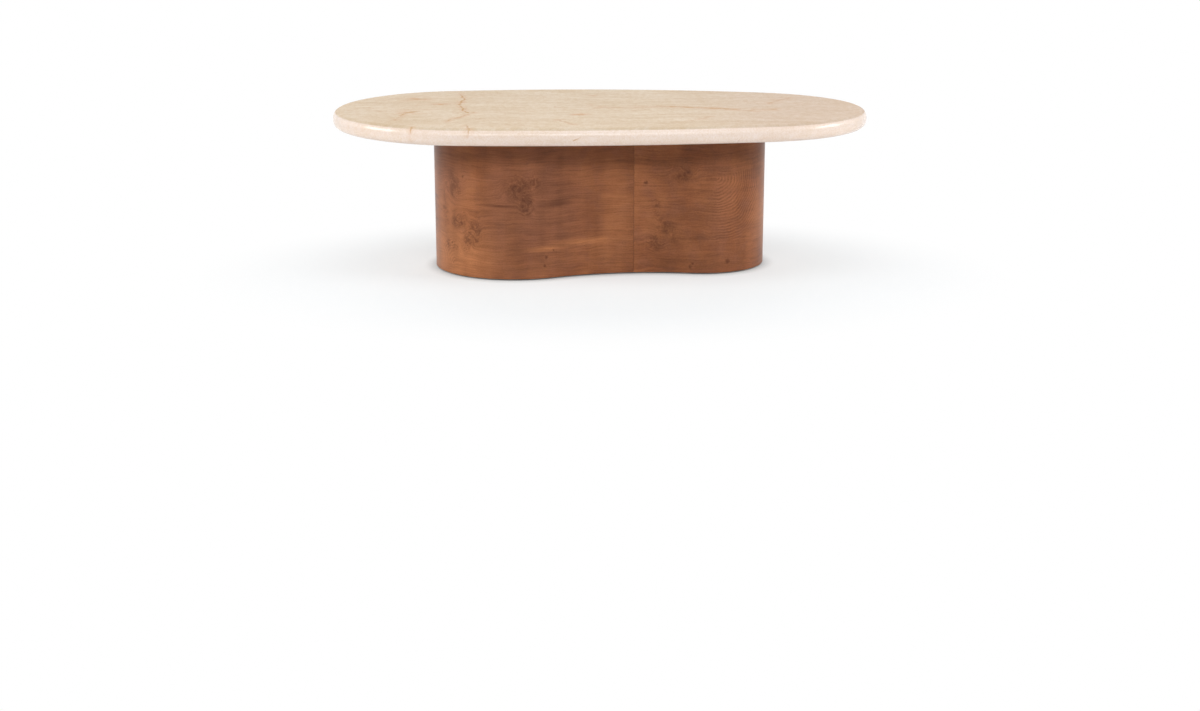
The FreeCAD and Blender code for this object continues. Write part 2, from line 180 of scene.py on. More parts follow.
class PlinthSettings(PropertyGroup):
    left_radius: length("Left lobe", "Radius of the round left end", 0.184)
    left_y: length("Left lobe's middle", "Middle of the left lobe, front to back", -0.009)
    right_radius: length("Right lobe", "Radius of the round right end", 0.144)
    right_y: length("Right lobe's middle", "Middle of the right lobe, front to back", 0.016)
    waist_radius: length("Waist", "Radius of the hollow arc at the front", 0.480)
    back_radius: length("Back", "Radius of the flat arc at the back", 1.500)
    seam_x: length("Seam", "Where the two halves of the wall meet", 0.075)
    seam_gap: length("Seam gap", "Joint between the two halves", 0.0002)
    veneer: length("Veneer", "Thickness of a burl leaf", 0.0006)
    glue: length("Glue", "Adhesive between glued faces", 0.0001)
    shell: length("Shell", "Thickness of the bent plywood", 0.012)
    brown: colour("Brown", "Stained ground of the veneer", (0.228, 0.082, 0.035))
    amber: colour("Amber", "Warm grain of the veneer", (0.390, 0.154, 0.064))
    # A dusky tint of the veneer, greyed by painted sheen; its zones also paint sheen bands and a patch of
    # shade
    mauve_sheen_and_shade: colour("Mauve", "Dusky grain of the veneer", (0.226, 0.089, 0.048))
    dark: colour("Dark", "Pips and dark grain of the veneer", (0.080, 0.027, 0.013))
    birch: colour("Birch", "Plywood faces and light plies", (0.62, 0.43, 0.24))
    ply: colour("Dark ply", "Cross plies on a plywood edge", (0.36, 0.21, 0.10))


class FootSettings(PropertyGroup):
    thread_pitch: length("Thread pitch", "Rise of the stud's thread in a turn", 0.00125)
    thread_depth: length("Thread depth", "Depth of the stud's thread", 0.0006)
    hexagon: length("Hexagon", "Width across the flats of a foot's hexagon", 0.013)
    stop_gap: length("Stop gap", "Hexagon to the base board", 0.0002)
    stud_radius: length("Stud radius", "Outside of the stud's thread", 0.004)
    steel: colour("Steel", "Zinc-plated steel", (0.56, 0.57, 0.58))
    polymer: colour("Polymer", "Moulded foot pads", (0.025, 0.025, 0.027))
    scuff: colour("Scuff", "Worn spots on the foot pads", (0.11, 0.11, 0.115))


class StageSettings(PropertyGroup):
    camera_height: length("Camera height", "Camera above the floor", 0.921)
    camera_distance: length("Camera distance", "Camera in front of the slab's middle", 4.290)
    camera_tilt: number("Camera tilt", "Camera below level", 0.2602, subtype="ANGLE")
    focal_pixels: number("Focal length", "In pixels of the full image", 1910.5)
    sky: number("Sky", "Strength of the even studio light", 0.20)
    front_box: number("Front box", "Power of the low softbox in front", 154, unit="POWER")
    side_box: number("Side boxes", "Power of the two side softboxes", 60, unit="POWER")
    back_box: number("Back box", "Power of the low softbox behind", 115, unit="POWER")
    top_box: number("Top box", "Power of the overhead softbox", 20, unit="POWER")
    floor_glow: number("Floor glow", "Even part of the white floor", 0.505)
    floor_share: number("Floor share", "Part of the floor that takes the shadow", 0.46)
    floor_bounce: number("Floor bounce", "Part of the light that the floor gives back", 0.70)


class TableSettings(PropertyGroup):
    slab: PointerProperty(type=SlabSettings)
    plinth: PointerProperty(type=PlinthSettings)
    foot: PointerProperty(type=FootSettings)
    stage: PointerProperty(type=StageSettings)


# Outlines of tangent arcs

class Arcs(NamedTuple):
    """A closed outline of touching arcs: point = centre + radius * n(angle), where n points outwards.

    A hollow arc has a negative radius. Drawn in by an inset, point = centre + (radius - inset) * n(angle).
    """
    centre: np.ndarray
    radius: np.ndarray
    start: np.ndarray
    turn: np.ndarray


def touching_arcs(circles):
    """Arcs on circles that touch in turn; at a joint n = (centre_j - centre_i) / (r_i - r_j)."""
    centre = np.array([place for place, _ in circles])
    radius = np.array([reach for _, reach in circles])
    joint = (np.roll(centre, -1, 0) - centre) / (radius - np.roll(radius, -1))[:, None]
    stop = np.arctan2(joint[:, 1], joint[:, 0])
    start = np.roll(stop, 1)
    turn = np.where(radius > 0, (stop - start) % math.tau, -((start - stop) % math.tau))
    return Arcs(centre, radius, start, turn)


def side_arc(span, near, far):
    """Radius of the arc that touches a side round two circles, and how far past the first it touches.

    A circle is its radius and its setback from the side. An arc of radius R touches the side
    sqrt(setback * (2 R - 2 radius - setback)) past a circle; R is found by halving an interval.
    """
    circle = np.array([near, far])

    def past(arc):
        return np.sqrt(np.maximum(circle[:, 1] * (2 * arc - 2 * circle[:, 0] - circle[:, 1]), 0))

    low = (circle[:, 0] + circle[:, 1] / 2).max()
    high = low + span**2 / circle[:, 1].min()
    for _ in range(60):
        middle = (low + high) / 2
        low, high = (middle, high) if past(middle).sum() < span else (low, middle)
    return high, past(high)[0]


def slab_arcs(slab):
    """The pebble: two left corners and a round right end, with arcs that touch the front, back and left."""
    west, south = SLAB_LOW.x, SLAB_LOW.y
    east, north = SLAB_HIGH.x, SLAB_HIGH.y
    corner_sum = north - south - slab.front_side_setback - slab.back_side_setback - slab.corner_span
    r_front = (corner_sum + slab.corner_difference) / 2
    r_back = (corner_sum - slab.corner_difference) / 2
    r_end = (north - south - slab.front_taper - slab.back_taper) / 2
    front = (west + slab.front_end_setback + r_front, south + slab.front_side_setback + r_front)
    back = (west + slab.back_end_setback + r_back, north - slab.back_side_setback - r_back)
    end = (east - r_end, south + slab.front_taper + r_end)
    r_south, past_front = side_arc(end[0] - front[0], (r_front, slab.front_side_setback),
                                   (r_end, slab.front_taper))
    r_north, past_back = side_arc(end[0] - back[0], (r_back, slab.back_side_setback),
                                  (r_end, slab.back_taper))
    r_west, past_left = side_arc(back[1] - front[1], (r_front, slab.front_end_setback),
                                 (r_back, slab.back_end_setback))
    return touching_arcs([
        (front, r_front),
        ((front[0] + past_front, south + r_south), r_south),
        (end, r_end),
        ((back[0] + past_back, north - r_north), r_north),
        (back, r_back),
        ((west + r_west, front[1] + past_left), r_west),
    ])


def circles_meet(first, first_reach, second, second_reach):
    """The point at given distances from two others, to the right on the way from first to second."""
    way = np.subtract(second, first)
    span = np.hypot(*way)
    along = (first_reach**2 - second_reach**2 + span**2) / (2 * span)
    across = math.sqrt(first_reach**2 - along**2)
    return first + way * along / span + np.array((way[1], -way[0])) * across / span


def plinth_arcs(plinth):
    """Left lobe, hollow waist, right lobe and flat back, all tangent; the veneer's boxes give the ends."""
    left = np.array((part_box("veneer_left")[0].x + plinth.left_radius, plinth.left_y))
    right = np.array((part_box("veneer_right")[1].x - plinth.right_radius, plinth.right_y))
    waist = circles_meet(left, plinth.waist_radius + plinth.left_radius,
                         right, plinth.waist_radius + plinth.right_radius)
    back = circles_meet(left, plinth.back_radius - plinth.left_radius,
                        right, plinth.back_radius - plinth.right_radius)
    return touching_arcs([(left, plinth.left_radius), (waist, -plinth.waist_radius),
                          (right, plinth.right_radius), (back, plinth.back_radius)])


# Meshes from grids

def grid_faces(rows, columns, wrap_rows, wrap_columns):
    """Quads of a grid of points, numbered row by row, closed on itself where asked."""
    row = np.arange(rows if wrap_rows else rows - 1)[:, None]
    column = np.arange(columns if wrap_columns else columns - 1)[None, :]
    next_row, next_column = (row + 1) % rows, (column + 1) % columns
    quads = (row * columns + column, next_row * columns + column,
             next_row * columns + next_column, row * columns + next_column)
    return np.stack(np.broadcast_arrays(*quads), -1).reshape(-1, 4)


def at_height(plan, height):
    """Points of a plan with the height of each column."""
    return np.concatenate([plan, np.broadcast_to(height[None, :, None], (*plan.shape[:2], 1))], -1)


def new_mesh(name, points, faces, material):
    """A mesh from points and from arrays of faces, each array with its own number of corners."""
    mesh = bpy.data.meshes.new(name)
    mesh.from_pydata(points.reshape(-1, 3).tolist(), [], sum((block.tolist() for block in faces), []))
    mesh.validate()
    mesh.materials.append(material)
    return mesh


def new_piece(name, points, faces, material, body="table"):
    """An object at the origin with its place in its mesh, riding on a body; its sharp edges stay crisp."""
    mesh = new_mesh(name, points, faces, material)
    mesh.shade_smooth()
    mesh.set_sharp_from_angle(angle=SHARP_ANGLE)
    piece = bpy.data.objects.new(name, mesh)
    bpy.context.scene.collection.objects.link(piece)
    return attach(piece, body)


def turned(around, radius, height, shape=np.ones_like):
    """Rings about the upright axis: radius shape(a) (cos a, sin a) at each height."""
    angle = np.linspace(0, math.tau, around, endpoint=False)[:, None]
    reach = np.asarray(radius)[None, :] * shape(angle)
    rings = np.broadcast_arrays(reach * np.cos(angle), reach * np.sin(angle), np.asarray(height)[None, :])
    return np.stack(rings, -1)


def capped(rings):
    """Points and faces of rings about an axis, with a fan of triangles to a middle point at both ends."""
    around, count = rings.shape[:2]
    points = np.concatenate([rings.reshape(-1, 3), rings[:, [0, -1]].mean(0)])
    ring = np.arange(around) * count
    after = np.roll(ring, -1)
    first, last = np.full((2, around), [[len(points) - 2], [len(points) - 1]])
    return points, [grid_faces(around, count, True, False), np.stack([after, ring, first], -1),
                    np.stack([ring + count - 1, after + count - 1, last], -1)]


def copies(points, faces, places):
    """The same points and faces again at each place, joined as one mesh."""
    moved = points[None] + np.asarray(places)[:, None]
    first = np.arange(len(places))[:, None, None] * len(points)
    return moved.reshape(-1, 3), [(block + first).reshape(-1, block.shape[1]) for block in faces]


# Materials

def node(tree, kind, inputs=(), **settings):
    """A node with its settings; each input is a number, a colour, a socket or a field."""
    made = tree.nodes.new(kind)
    for name, setting in settings.items():
        setattr(made, name, setting)
    for name, given in dict(inputs).items():
        given = given.socket if isinstance(given, Field) else given
        if isinstance(given, bpy.types.NodeSocket):
            tree.links.new(given, made.inputs[name])
        else:
            made.inputs[name].default_value = given
    return made


def field(tree, kind, inputs=(), output=0, **settings):
    """One output of a new node."""
    return Field(tree, node(tree, kind, inputs, **settings).outputs[output])


def rgba(tint):
    return tint if isinstance(tint, Field) else (*tint, 1.0)


class Field:
    """A number, place or colour that varies over a surface; sums with it put their nodes in its tree."""

    def __init__(self, tree, socket):
        self.tree, self.socket = tree, socket

    def calc(self, operation, *others, clamp=False):
        inputs = enumerate((self, *others))
        return field(self.tree, "ShaderNodeMath", inputs, operation=operation, use_clamp=clamp)

    def vector(self, operation, *others, output="Vector", **named):
        inputs = {**dict(enumerate((self, *others))), **named}
        return field(self.tree, "ShaderNodeVectorMath", inputs, output, operation=operation)

    def either(self, operation, other):
        return self.calc(operation, other) if self.socket.type == "VALUE" else self.vector(operation, other)

    __add__ = partialmethod(either, "ADD")
    __sub__ = partialmethod(either, "SUBTRACT")
    __mul__ = partialmethod(either, "MULTIPLY")
    __pow__ = partialmethod(calc, "POWER")
    __abs__ = partialmethod(calc, "ABSOLUTE")
    least = partialmethod(calc, "MINIMUM")
    most = partialmethod(calc, "MAXIMUM")
    length = partialmethod(vector, "LENGTH", output="Value")
    dot = partialmethod(vector, "DOT_PRODUCT", output="Value")

    def part(self, axis):
        return field(self.tree, "ShaderNodeSeparateXYZ", {0: self}, axis)

    def from_point(self, x, y):
        return self.vector("DISTANCE", (x, y, 0.0), output="Value")

    def from_oval(self, x, y, half_length, half_height):
        """Distance to the middle of an oval, where 1 is its rim."""
        return ((self - (x, y, 0.0)) * (1 / half_length, 1 / half_height, 0.0)).length()

    def from_line(self, start, end):
        """Distance to a line, its ends a and b in mm: |p - a - d clamp((p - a).d / d.d)| with d = b - a."""
        start, end = Vector(start) * MM, Vector(end) * MM
        way = end - start
        offset = self - start
        along = offset.dot(way).calc("DIVIDE", way.length_squared, clamp=True)
        nearest = field(self.tree, "ShaderNodeVectorMath", {0: way, "Scale": along}, operation="SCALE")
        return (offset - nearest).length()

    def ease(self, low, high, to_low=0.0, to_high=1.0):
        """A smooth step from one value to another between two bounds."""
        inputs = {"Value": self, "From Min": low, "From Max": high, "To Min": to_low, "To Max": to_high}
        return field(self.tree, "ShaderNodeMapRange", inputs, "Result", interpolation_type="SMOOTHSTEP")

    def swing(self, reach):
        """Noise about its middle, from minus to plus a reach."""
        return self.ease(0.3, 0.7, -reach, reach)

    def noise(self, scale, detail=3.0, roughness=0.5, output="Fac"):
        inputs = {"Vector": self, "Scale": scale, "Detail": detail, "Roughness": roughness}
        return field(self.tree, "ShaderNodeTexNoise", inputs, output)

    def stretched(self, *scale):
        return field(self.tree, "ShaderNodeMapping", {"Vector": self, "Scale": scale})

    def stirred(self, scale, reach, detail=2.0):
        """The place moved about by up to half a reach in a cloudy way."""
        cloud = self.noise(scale, detail, output="Color") - MID_GREY
        return self + cloud.vector("SCALE", Scale=reach)

    def mix(self, first, second):
        """A colour between two, with this field as the share of the second."""
        inputs = {0: self, 6: rgba(first), 7: rgba(second)}
        return field(self.tree, "ShaderNodeMix", inputs, 2, data_type="RGBA")

    def shaded(self, shade):
        """This colour times another or times a number."""
        inputs = {0: 1.0, 6: self, 7: rgba(shade)}
        return field(self.tree, "ShaderNodeMix", inputs, 2, data_type="RGBA", blend_type="MULTIPLY")

    def bumped(self, strength, distance):
        inputs = {"Height": self, "Strength": strength, "Distance": distance}
        return field(self.tree, "ShaderNodeBump", inputs)


def place_on(tree):
    return field(tree, "ShaderNodeTexCoord", output="Object")


def kept_value(tree, name):
    return field(tree, "ShaderNodeAttribute", output="Fac", attribute_name=name)


def empty_tree(owner):
    """The node tree of a material or world, without its first nodes."""
    owner.use_nodes = True
    owner.node_tree.nodes.clear()
    return owner.node_tree


def new_material(name, **constants):
    """A material with one main shader, whose constant values stand on its own sockets."""
    material = bpy.data.materials.new(name)
    tree = empty_tree(material)
    inputs = {key.replace("_", " "): given for key, given in constants.items()}
    shader = node(tree, "ShaderNodeBsdfPrincipled", inputs)
    node(tree, "ShaderNodeOutputMaterial", {"Surface": shader.outputs[0]})
    return material, tree, shader


def connect(shader, colour, roughness, normal):
    for name, given in (("Base Color", colour), ("Roughness", roughness), ("Normal", normal)):
        given.tree.links.new(given.socket, shader.inputs[name])


def marble_material(slab):
    """Cream marble: strata along the slab, clouds, fine mottling, drawn veins and a net of hairlines."""
    material, tree, shader = new_material("polished_marble", IOR=1.5, Specular_IOR_Level=0.30)
    place, edge = place_on(tree), kept_value(tree, "edge")
    drift = place.stirred(2.4, 0.16, 3)
    strata = drift.stretched(1.7, 9.0, 9.0).noise(2.2, 7, 0.62)
    clouds = drift.noise(5.5, 6, 0.6)
    lines = drift.stretched(1.6, 34.0, 34.0).noise(1.0, 4, 0.6)
    mottle = drift.stretched(0.8, 0.45, 1.0).noise(95, 5, 0.65)
    grains = place.noise(330, 3, 0.7)
    ground = (strata * 0.55 + clouds * 0.45).ease(0.34, 0.66).mix(slab.cream, slab.pale)
    ground = drift.part("X").ease(0.10, 0.45, 0.0, 0.55).mix(ground, slab.rose)
    ground = (edge * 0.9).mix(ground, slab.edge)
    mottling = mottle.ease(0.3, 0.7, -1.0, 0.6) * (edge * -0.055 + 0.09) + lines.ease(0.3, 0.7, -0.05, 0.03)
    shade = mottling + 1.0 + grains.swing(0.07)
    warm = {"Red": shade**0.6, "Green": shade, "Blue": shade**1.7}
    # The slab's kept painted shading: painted shade before the edge's break, painted light on the lower
    # rounding
    ground = ground.shaded(field(tree, "ShaderNodeCombineColor", warm)).shaded(kept_value(tree, "painted_shading"))

    flat = place * (1.0, 1.0, EDGE_FLATTENING) + (0.0, 0.0, -EDGE_FLATTENING * SLAB_HIGH.z)
    rough_way = flat.stirred(16, 0.020, 2).stirred(105, 0.011, 3)
    smudging = place.noise(38, 4, 0.6)
    blush = 0.0
    for x, y, reach in np.multiply(SMUDGES, MM):
        blush = rough_way.from_point(x, y).ease(reach * 0.2, reach * 1.1, 0.95, 0.0).most(blush)
    blush = blush * smudging.ease(0.38, 0.58)
    stain = drift.noise(8.5, 4, 0.6).ease(0.60, 0.74, 0.0, 0.45) * smudging.ease(0.40, 0.66)
    ground = blush.most(stain).mix(ground, slab.blush)

    broken = place.noise(34, 3, 0.6).ease(0.36, 0.54, 0.30, 1.0)
    drawn, halo = 0.0, 0.0
    for strength, half_width, points in VEINS:
        runs = [rough_way.from_line((*start, 0), (*end, 0)) for start, end in zip(points, points[1:])]
        far = reduce(Field.least, runs)
        wide = half_width * MM
        drawn = far.ease(wide * 0.4, wide * 1.7, strength, 0.0).most(drawn)
        halo = far.ease(0.0, wide * 8, strength * 0.8, 0.0).most(halo)
    ground = (halo * smudging.ease(0.38, 0.62)).mix(ground, slab.blush)
    fleck = place.stirred(60, 0.006).from_line(*FLECK).ease(0.0005, 0.0022, 0.75, 0.0)
    ridge = abs(place.stirred(9, 0.06).noise(5.0, 4, 0.55) - 0.5)
    patch = place.noise(6.5, 2).ease(0.48, 0.64)
    hairline = ridge.ease(0.001, 0.007, 0.42, 0.0) * patch * broken
    veined = (drawn * broken).most(fleck).most(hairline).mix(ground, slab.vein)
    polished = mottle.ease(0.3, 0.7, 0.88, 0.98) + edge * -0.74
    connect(shader, veined, polished, grains.bumped(0.03, 0.0004))
    return material


def burl_material(plinth, name, offset):
    """Stained burl on a leaf's own map: grain that turns round burls, with rings, pips, knots and painted
    sheen bands.
    """
    material, tree, shader = new_material(name, IOR=1.45, Specular_IOR_Level=0.16)
    leaf = field(tree, "ShaderNodeUVMap", uv_map="Leaf")
    sideways = leaf + offset
    grain, ragged = leaf.stirred(9, 0.024, 3), leaf.stirred(38, 0.034, 4)
    knotty = 0.0
    for strength, along, up, half_length, half_height, turn in np.multiply(BURLS, (1, MM, MM, MM, MM, 1)):
        near = ragged.from_oval(along, up, half_length, half_height).ease(0.0, 1.6, strength, 0.0)
        knotty = near.most(knotty)
        spin = {"Vector": grain, "Center": (along, up, 0.0), "Angle": near * turn}
        grain = field(tree, "ShaderNodeVectorRotate", spin, rotation_type="Z_AXIS")
    curl = sideways.noise(75, 4, 0.6, "Color") - MID_GREY
    grain = grain + curl.vector("SCALE", Scale=knotty * 0.030 + 0.0035) + offset

    broad = grain.stretched(4.0, 60.0, 1.0).noise(1.0, 4, 0.6)
    stripes = grain.stretched(10.0, 310.0, 1.0).noise(1.0, 4, 0.62)
    fibres = grain.stretched(40.0, 900.0, 1.0).noise(1.0, 3, 0.6)
    fine = broad.swing(0.06) + stripes.swing(0.14)
    swirl = leaf.stirred(18, 0.020, 3)
    worn = leaf.noise(30, 3, 0.6).ease(0.35, 0.65, 0.35, 1.0)
    for along, up, reach, way in np.multiply(RINGS, (MM, MM, MM, 1)):
        away = swirl - (along, up, 0.0)
        far = away.length()
        facing = away.vector("NORMALIZE").dot((math.cos(way), math.sin(way), 0.0))
        shown = facing.ease(0.30, 0.85) * far.ease(reach * 0.7, reach, 1.0, 0.0)
        lines = (far * (math.tau / RING_PITCH)).calc("SINE")
        fine = fine * (shown * -0.6 + 1.0) + lines * (shown * worn * 0.24)
    eyes = {"Vector": sideways.stirred(50, 0.014), "Scale": 58.0}
    eye_rings = (field(tree, "ShaderNodeTexVoronoi", eyes, "Distance") * 24.0).calc("SINE")
    patches = grain.stretched(22.0, 46.0, 1.0).noise(1.0, 5, 0.62)
    specks = sideways.stretched(300.0, 620.0, 1.0).noise(1.0, 2, 0.6)
    fine = fine + eye_rings * knotty.ease(0.02, 0.5, 0.0, 0.10) + patches.swing(0.08) + specks.swing(0.10)

    wood = sideways.noise(11, 4, 0.55).ease(0.35, 0.75, 0.0, 0.5).mix(plinth.brown, plinth.amber)
    dusk = (sideways + (5.1, 3.3, 0.0)).noise(26, 4, 0.6)
    wood = dusk.ease(0.42, 0.68, 0.0, 0.55).mix(wood, plinth.mauve_sheen_and_shade)
    loose, tight = leaf.stirred(12, 0.045, 4), leaf.stirred(12, 0.012, 3)
    # Tinted zones, among them mauve ones that are painted sheen and one that is painted shade
    for tint, zones in ZONES.items():
        for strength, along, up, half_length, half_height in np.multiply(zones, (1, MM, MM, MM, MM)):
            spread = tight if half_height < NARROW_ZONE else loose
            share = spread.from_oval(along, up, half_length, half_height).ease(0.1, 1.4, strength, 0.0)
            wood = share.mix(wood, getattr(plinth, tint))
    wood = wood.shaded(fine + 1.0 + fibres.swing(0.06))

    cells = {"Vector": sideways.stirred(60, 0.010), "Scale": 190.0}
    cells = node(tree, "ShaderNodeTexVoronoi", cells).outputs
    pip_size = knotty.ease(0.12, 0.70) * Field(tree, cells["Color"]).ease(0.20, 0.80, 0.0, 0.55)
    pip = (Field(tree, cells["Distance"]) - pip_size).ease(-0.30, 0.10, 0.55, 0.0)
    pip = pip * pip_size.calc("GREATER_THAN", 0.01)
    cloud = grain.noise(62, 6, 0.68).ease(0.38, 0.66, 0.10, 0.80)
    wood = pip.most(knotty.ease(0.0, 0.8) * cloud).mix(wood, plinth.dark)
    uneven = leaf.stirred(150, 0.010, 2)
    for along, up, reach in np.multiply(KNOTS, MM):
        wood = uneven.from_point(along, up).ease(0.0, reach * 1.3, 0.75, 0.0).mix(wood, plinth.dark)

    # Upright bands of painted sheen, lighter and darker, stand for the satin's soft reflections
    painted_sheen_bands = sideways.stretched(20.0, 1.2, 1.0).noise(1.0, 3, 0.5)
    seam = abs(leaf.part("X")).ease(0.0002, 0.0014, 0.86, 1.0)
    wood = wood.shaded(painted_sheen_bands.ease(0.3, 0.7, 0.92, 1.09)).shaded(seam)
    connect(shader, wood, fibres * 0.16 + 0.27, fibres.bumped(0.08, 0.0005))
    return material


def plywood_material(plinth, name, stack, grain):
    """Birch plywood: plies in turn light and dark across the stack, and long grain on its faces."""
    material, tree, shader = new_material(name, IOR=1.45, Specular_IOR_Level=0.25)
    place = place_on(tree)
    ply = (stack(place) + PLY / 2).calc("PINGPONG", PLY)
    fibres = place.stirred(7, 0.03).stretched(*grain).noise(1.0, 5, 0.6)
    wood = (ply.ease(PLY * 0.42, PLY * 0.58) * 0.7).mix(plinth.birch, plinth.ply)
    wood = wood.shaded(fibres.ease(0.25, 0.75, 0.80, 1.12))
    connect(shader, wood, fibres.ease(0.2, 0.8, 0.55, 0.72), fibres.bumped(0.15, 0.0005))
    return material


def along_axis(axis, start):
    """How far a place lies past a start, along X, Y or Z."""
    return lambda place: place.part(axis) - start


def through_shell(place):
    """How deep a point lies in a bent shell, kept with its mesh."""
    return kept_value(place.tree, "depth")


def steel_material(foot):
    """Zinc-plated steel, brushed a little, with dull spots."""
    material, tree, shader = new_material("plated_steel", Metallic=1.0)
    place = place_on(tree)
    brushed = place.stretched(900, 900, 120).noise(1.0, 3, 0.6)
    spots = place.noise(140, 4, 0.6)
    metal = spots.ease(0.3, 0.7, 0.78, 1.1).shaded(foot.steel)
    connect(shader, metal, spots * 0.2 + (brushed * 0.18 + 0.20), brushed.bumped(0.05, 0.0002))
    return material


def polymer_material(foot):
    """Moulded polymer with a fine spark-eroded texture and scuffs."""
    material, tree, shader = new_material("foot_polymer", IOR=1.5, Specular_IOR_Level=0.4)
    place = place_on(tree)
    fine, scuffs = place.noise(1400, 2, 0.5), place.noise(90, 5, 0.65)
    tint = scuffs.ease(0.5, 0.75, 0.0, 0.25).mix(foot.polymer, foot.scuff)
    connect(shader, tint, scuffs.ease(0.3, 0.7, 0.48, 0.66), fine.bumped(0.25, 0.0002))
    return material


# Pieces

def slab_surface(slab, step=0.006, painted_shade_depth=0.16, painted_shade_power=1.4, painted_underlight=0.24):
    """Points of the slab, ring by ring, from the middle of its face over its edge to that of its underside.

    A ring is the outline drawn in by an inset. Round the edge the inset is r (1 - sin t) at r (1 - cos t)
    below the face, and on the two flats the ring shrinks towards the slab's middle. Each ring's polish and
    painted shading are returned too: the edge is polished from its break on, with painted shade darkening
    the rounding before the break and painted light lightening it underneath.
    """
    arcs = slab_arcs(slab)
    counts = np.ceil(np.abs(arcs.radius * arcs.turn) / step).astype(int)
    arc = np.repeat(np.arange(len(counts)), counts)
    share = np.concatenate([np.arange(count) / count for count in counts])
    angle = arcs.start[arc] + arcs.turn[arc] * share
    flat = np.array([0.999, 0.75, 0.5, 0.25, 0.02])
    honed = np.linspace(0, slab.edge_break, 8)
    polished = np.linspace(slab.edge_break + 0.01, math.pi / 2, 9)
    edge = np.concatenate([honed, polished])
    radius, level, whole = slab.edge_radius, np.zeros_like(flat), np.ones_like(flat)
    fall = 1 - np.sin(edge)
    inset = radius * np.concatenate([whole, fall, fall[::-1], whole])
    drop = radius * np.concatenate([level, 1 - np.cos(edge)])
    height = np.concatenate([SLAB_HIGH.z - drop, SLAB_LOW.z + drop[::-1]])
    shrink = np.concatenate([flat, np.zeros(2 * len(edge)), flat[::-1]])
    outward = np.stack([np.cos(angle), np.sin(angle)], -1)[:, None]
    plan = arcs.centre[arc][:, None] + (arcs.radius[arc][:, None] - inset)[..., None] * outward
    middle = plan.mean((0, 1))
    plan = middle + (plan - middle) * (1 - shrink)[None, :, None]
    on_edge = np.concatenate([np.zeros_like(honed), np.ones_like(polished), np.ones_like(edge)])
    polish = np.concatenate([level, on_edge, level])
    # Painted shade darkens the honed rounding towards the break, and painted light lightens the lower
    # rounding
    painted_shade = 1 - painted_shade_depth * (honed / slab.edge_break)**painted_shade_power
    painted_light = 1 + painted_underlight * np.cos(edge[::-1])
    painted_shading = np.concatenate([whole, painted_shade, np.ones_like(polished), painted_light, whole])
    return at_height(plan, height), polish, painted_shading


def wall_surface(plinth, half, inset, height, step=0.004):
    """A section of insets and heights carried along one half of the plinth's wall, from seam to seam.

    On each arc the angle goes evenly from one joint to the next. At a seam it ends where the drawn-in arc
    meets the seam's plane, cos(angle) = (x - centre) / (radius - inset). The distance along the wall from
    the front seam is returned too, negative on the left half.
    """
    arcs = plinth_arcs(plinth)
    inset, height = np.asarray(inset, float), np.asarray(height, float)
    left = half == "left"
    seam = plinth.seam_x + (-1 if left else 1) * plinth.seam_gap / 2
    lobe, front, back = 0 if left else 2, 1, 3

    def seam_angle(arc):
        reach = np.arccos((seam - arcs.centre[arc, 0]) / (arcs.radius[arc] - inset))
        return reach if arc == back else -reach

    def joint(angle):
        return np.full(len(inset), angle)

    lobe_start, lobe_stop = arcs.start[lobe], arcs.start[lobe] + arcs.turn[lobe]
    come, leave, turn = (back, front, math.tau) if left else (front, back, 0.0)
    runs = [(come, seam_angle(come), joint(lobe_start)), (lobe, joint(lobe_start), joint(lobe_stop)),
            (leave, joint(lobe_stop - turn), seam_angle(leave))]
    plan, along, gone = [], [], 0.0
    for arc, first, last in runs:
        size = abs(arcs.radius[arc] * (last[0] - first[0]))
        count = int(np.ceil(size / step))
        share = np.arange(count + 1)[:, None] / count
        angle = first + (last - first) * share
        reach = arcs.radius[arc] - inset
        points = arcs.centre[arc] + reach[None, :, None] * np.stack([np.cos(angle), np.sin(angle)], -1)
        plan.append(points if not plan else points[1:])
        along.append((gone + size * share[:, 0])[0 if not along else 1:])
        gone += size
    plan, along = np.concatenate(plan), np.concatenate(along)
    return at_height(plan, height), along - gone if left else along


def wall_faces(points):
    """Faces of a section carried along a path: its sides, and the section itself at both ends."""
    rows, columns = points.shape[:2]
    section = np.arange(columns)[None]
    return [grid_faces(rows, columns, False, True), section, rows * columns - 1 - section]


def map_leaf(piece, along, height):
    """A map of the leaf in metres: along the wall from the front seam, and above the floor."""
    mesh = piece.data
    spot = np.stack(np.broadcast_arrays(along[:, None], np.asarray(height)[None, :]), -1).reshape(-1, 2)
    corner = np.zeros(len(mesh.loops), int)
    mesh.loops.foreach_get("vertex_index", corner)
    mesh.uv_layers.new(name="Leaf").data.foreach_set("uv", spot[corner].ravel())


def keep_value(piece, name, values):
    """Keeps a value with each point of a piece, for its material."""
    layer = piece.data.attributes.new(name, "FLOAT", "POINT")
    layer.data.foreach_set("value", values)


class TABLE_OT_marble_slab(Operator):
    """Pebble-shaped slab with a rounded edge, in polished marble"""
    bl_idname = "coffee_table.marble_slab"
    bl_label = "Marble Slab"

    def execute(self, context):
        slab = context.scene.coffee_table.slab
        rings, polish, painted_shading = slab_surface(slab)
        piece = new_piece("marble_slab", *capped(rings), marble_material(slab))
        keep_value(piece, "edge", np.append(np.tile(polish, len(rings)), (0, 0)))
        # Keeps each ring's painted shade and painted light for the marble
        keep_value(piece, "painted_shading", np.append(np.tile(painted_shading, len(rings)), (1, 1)))
        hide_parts("marble_top")
        return {"FINISHED"}


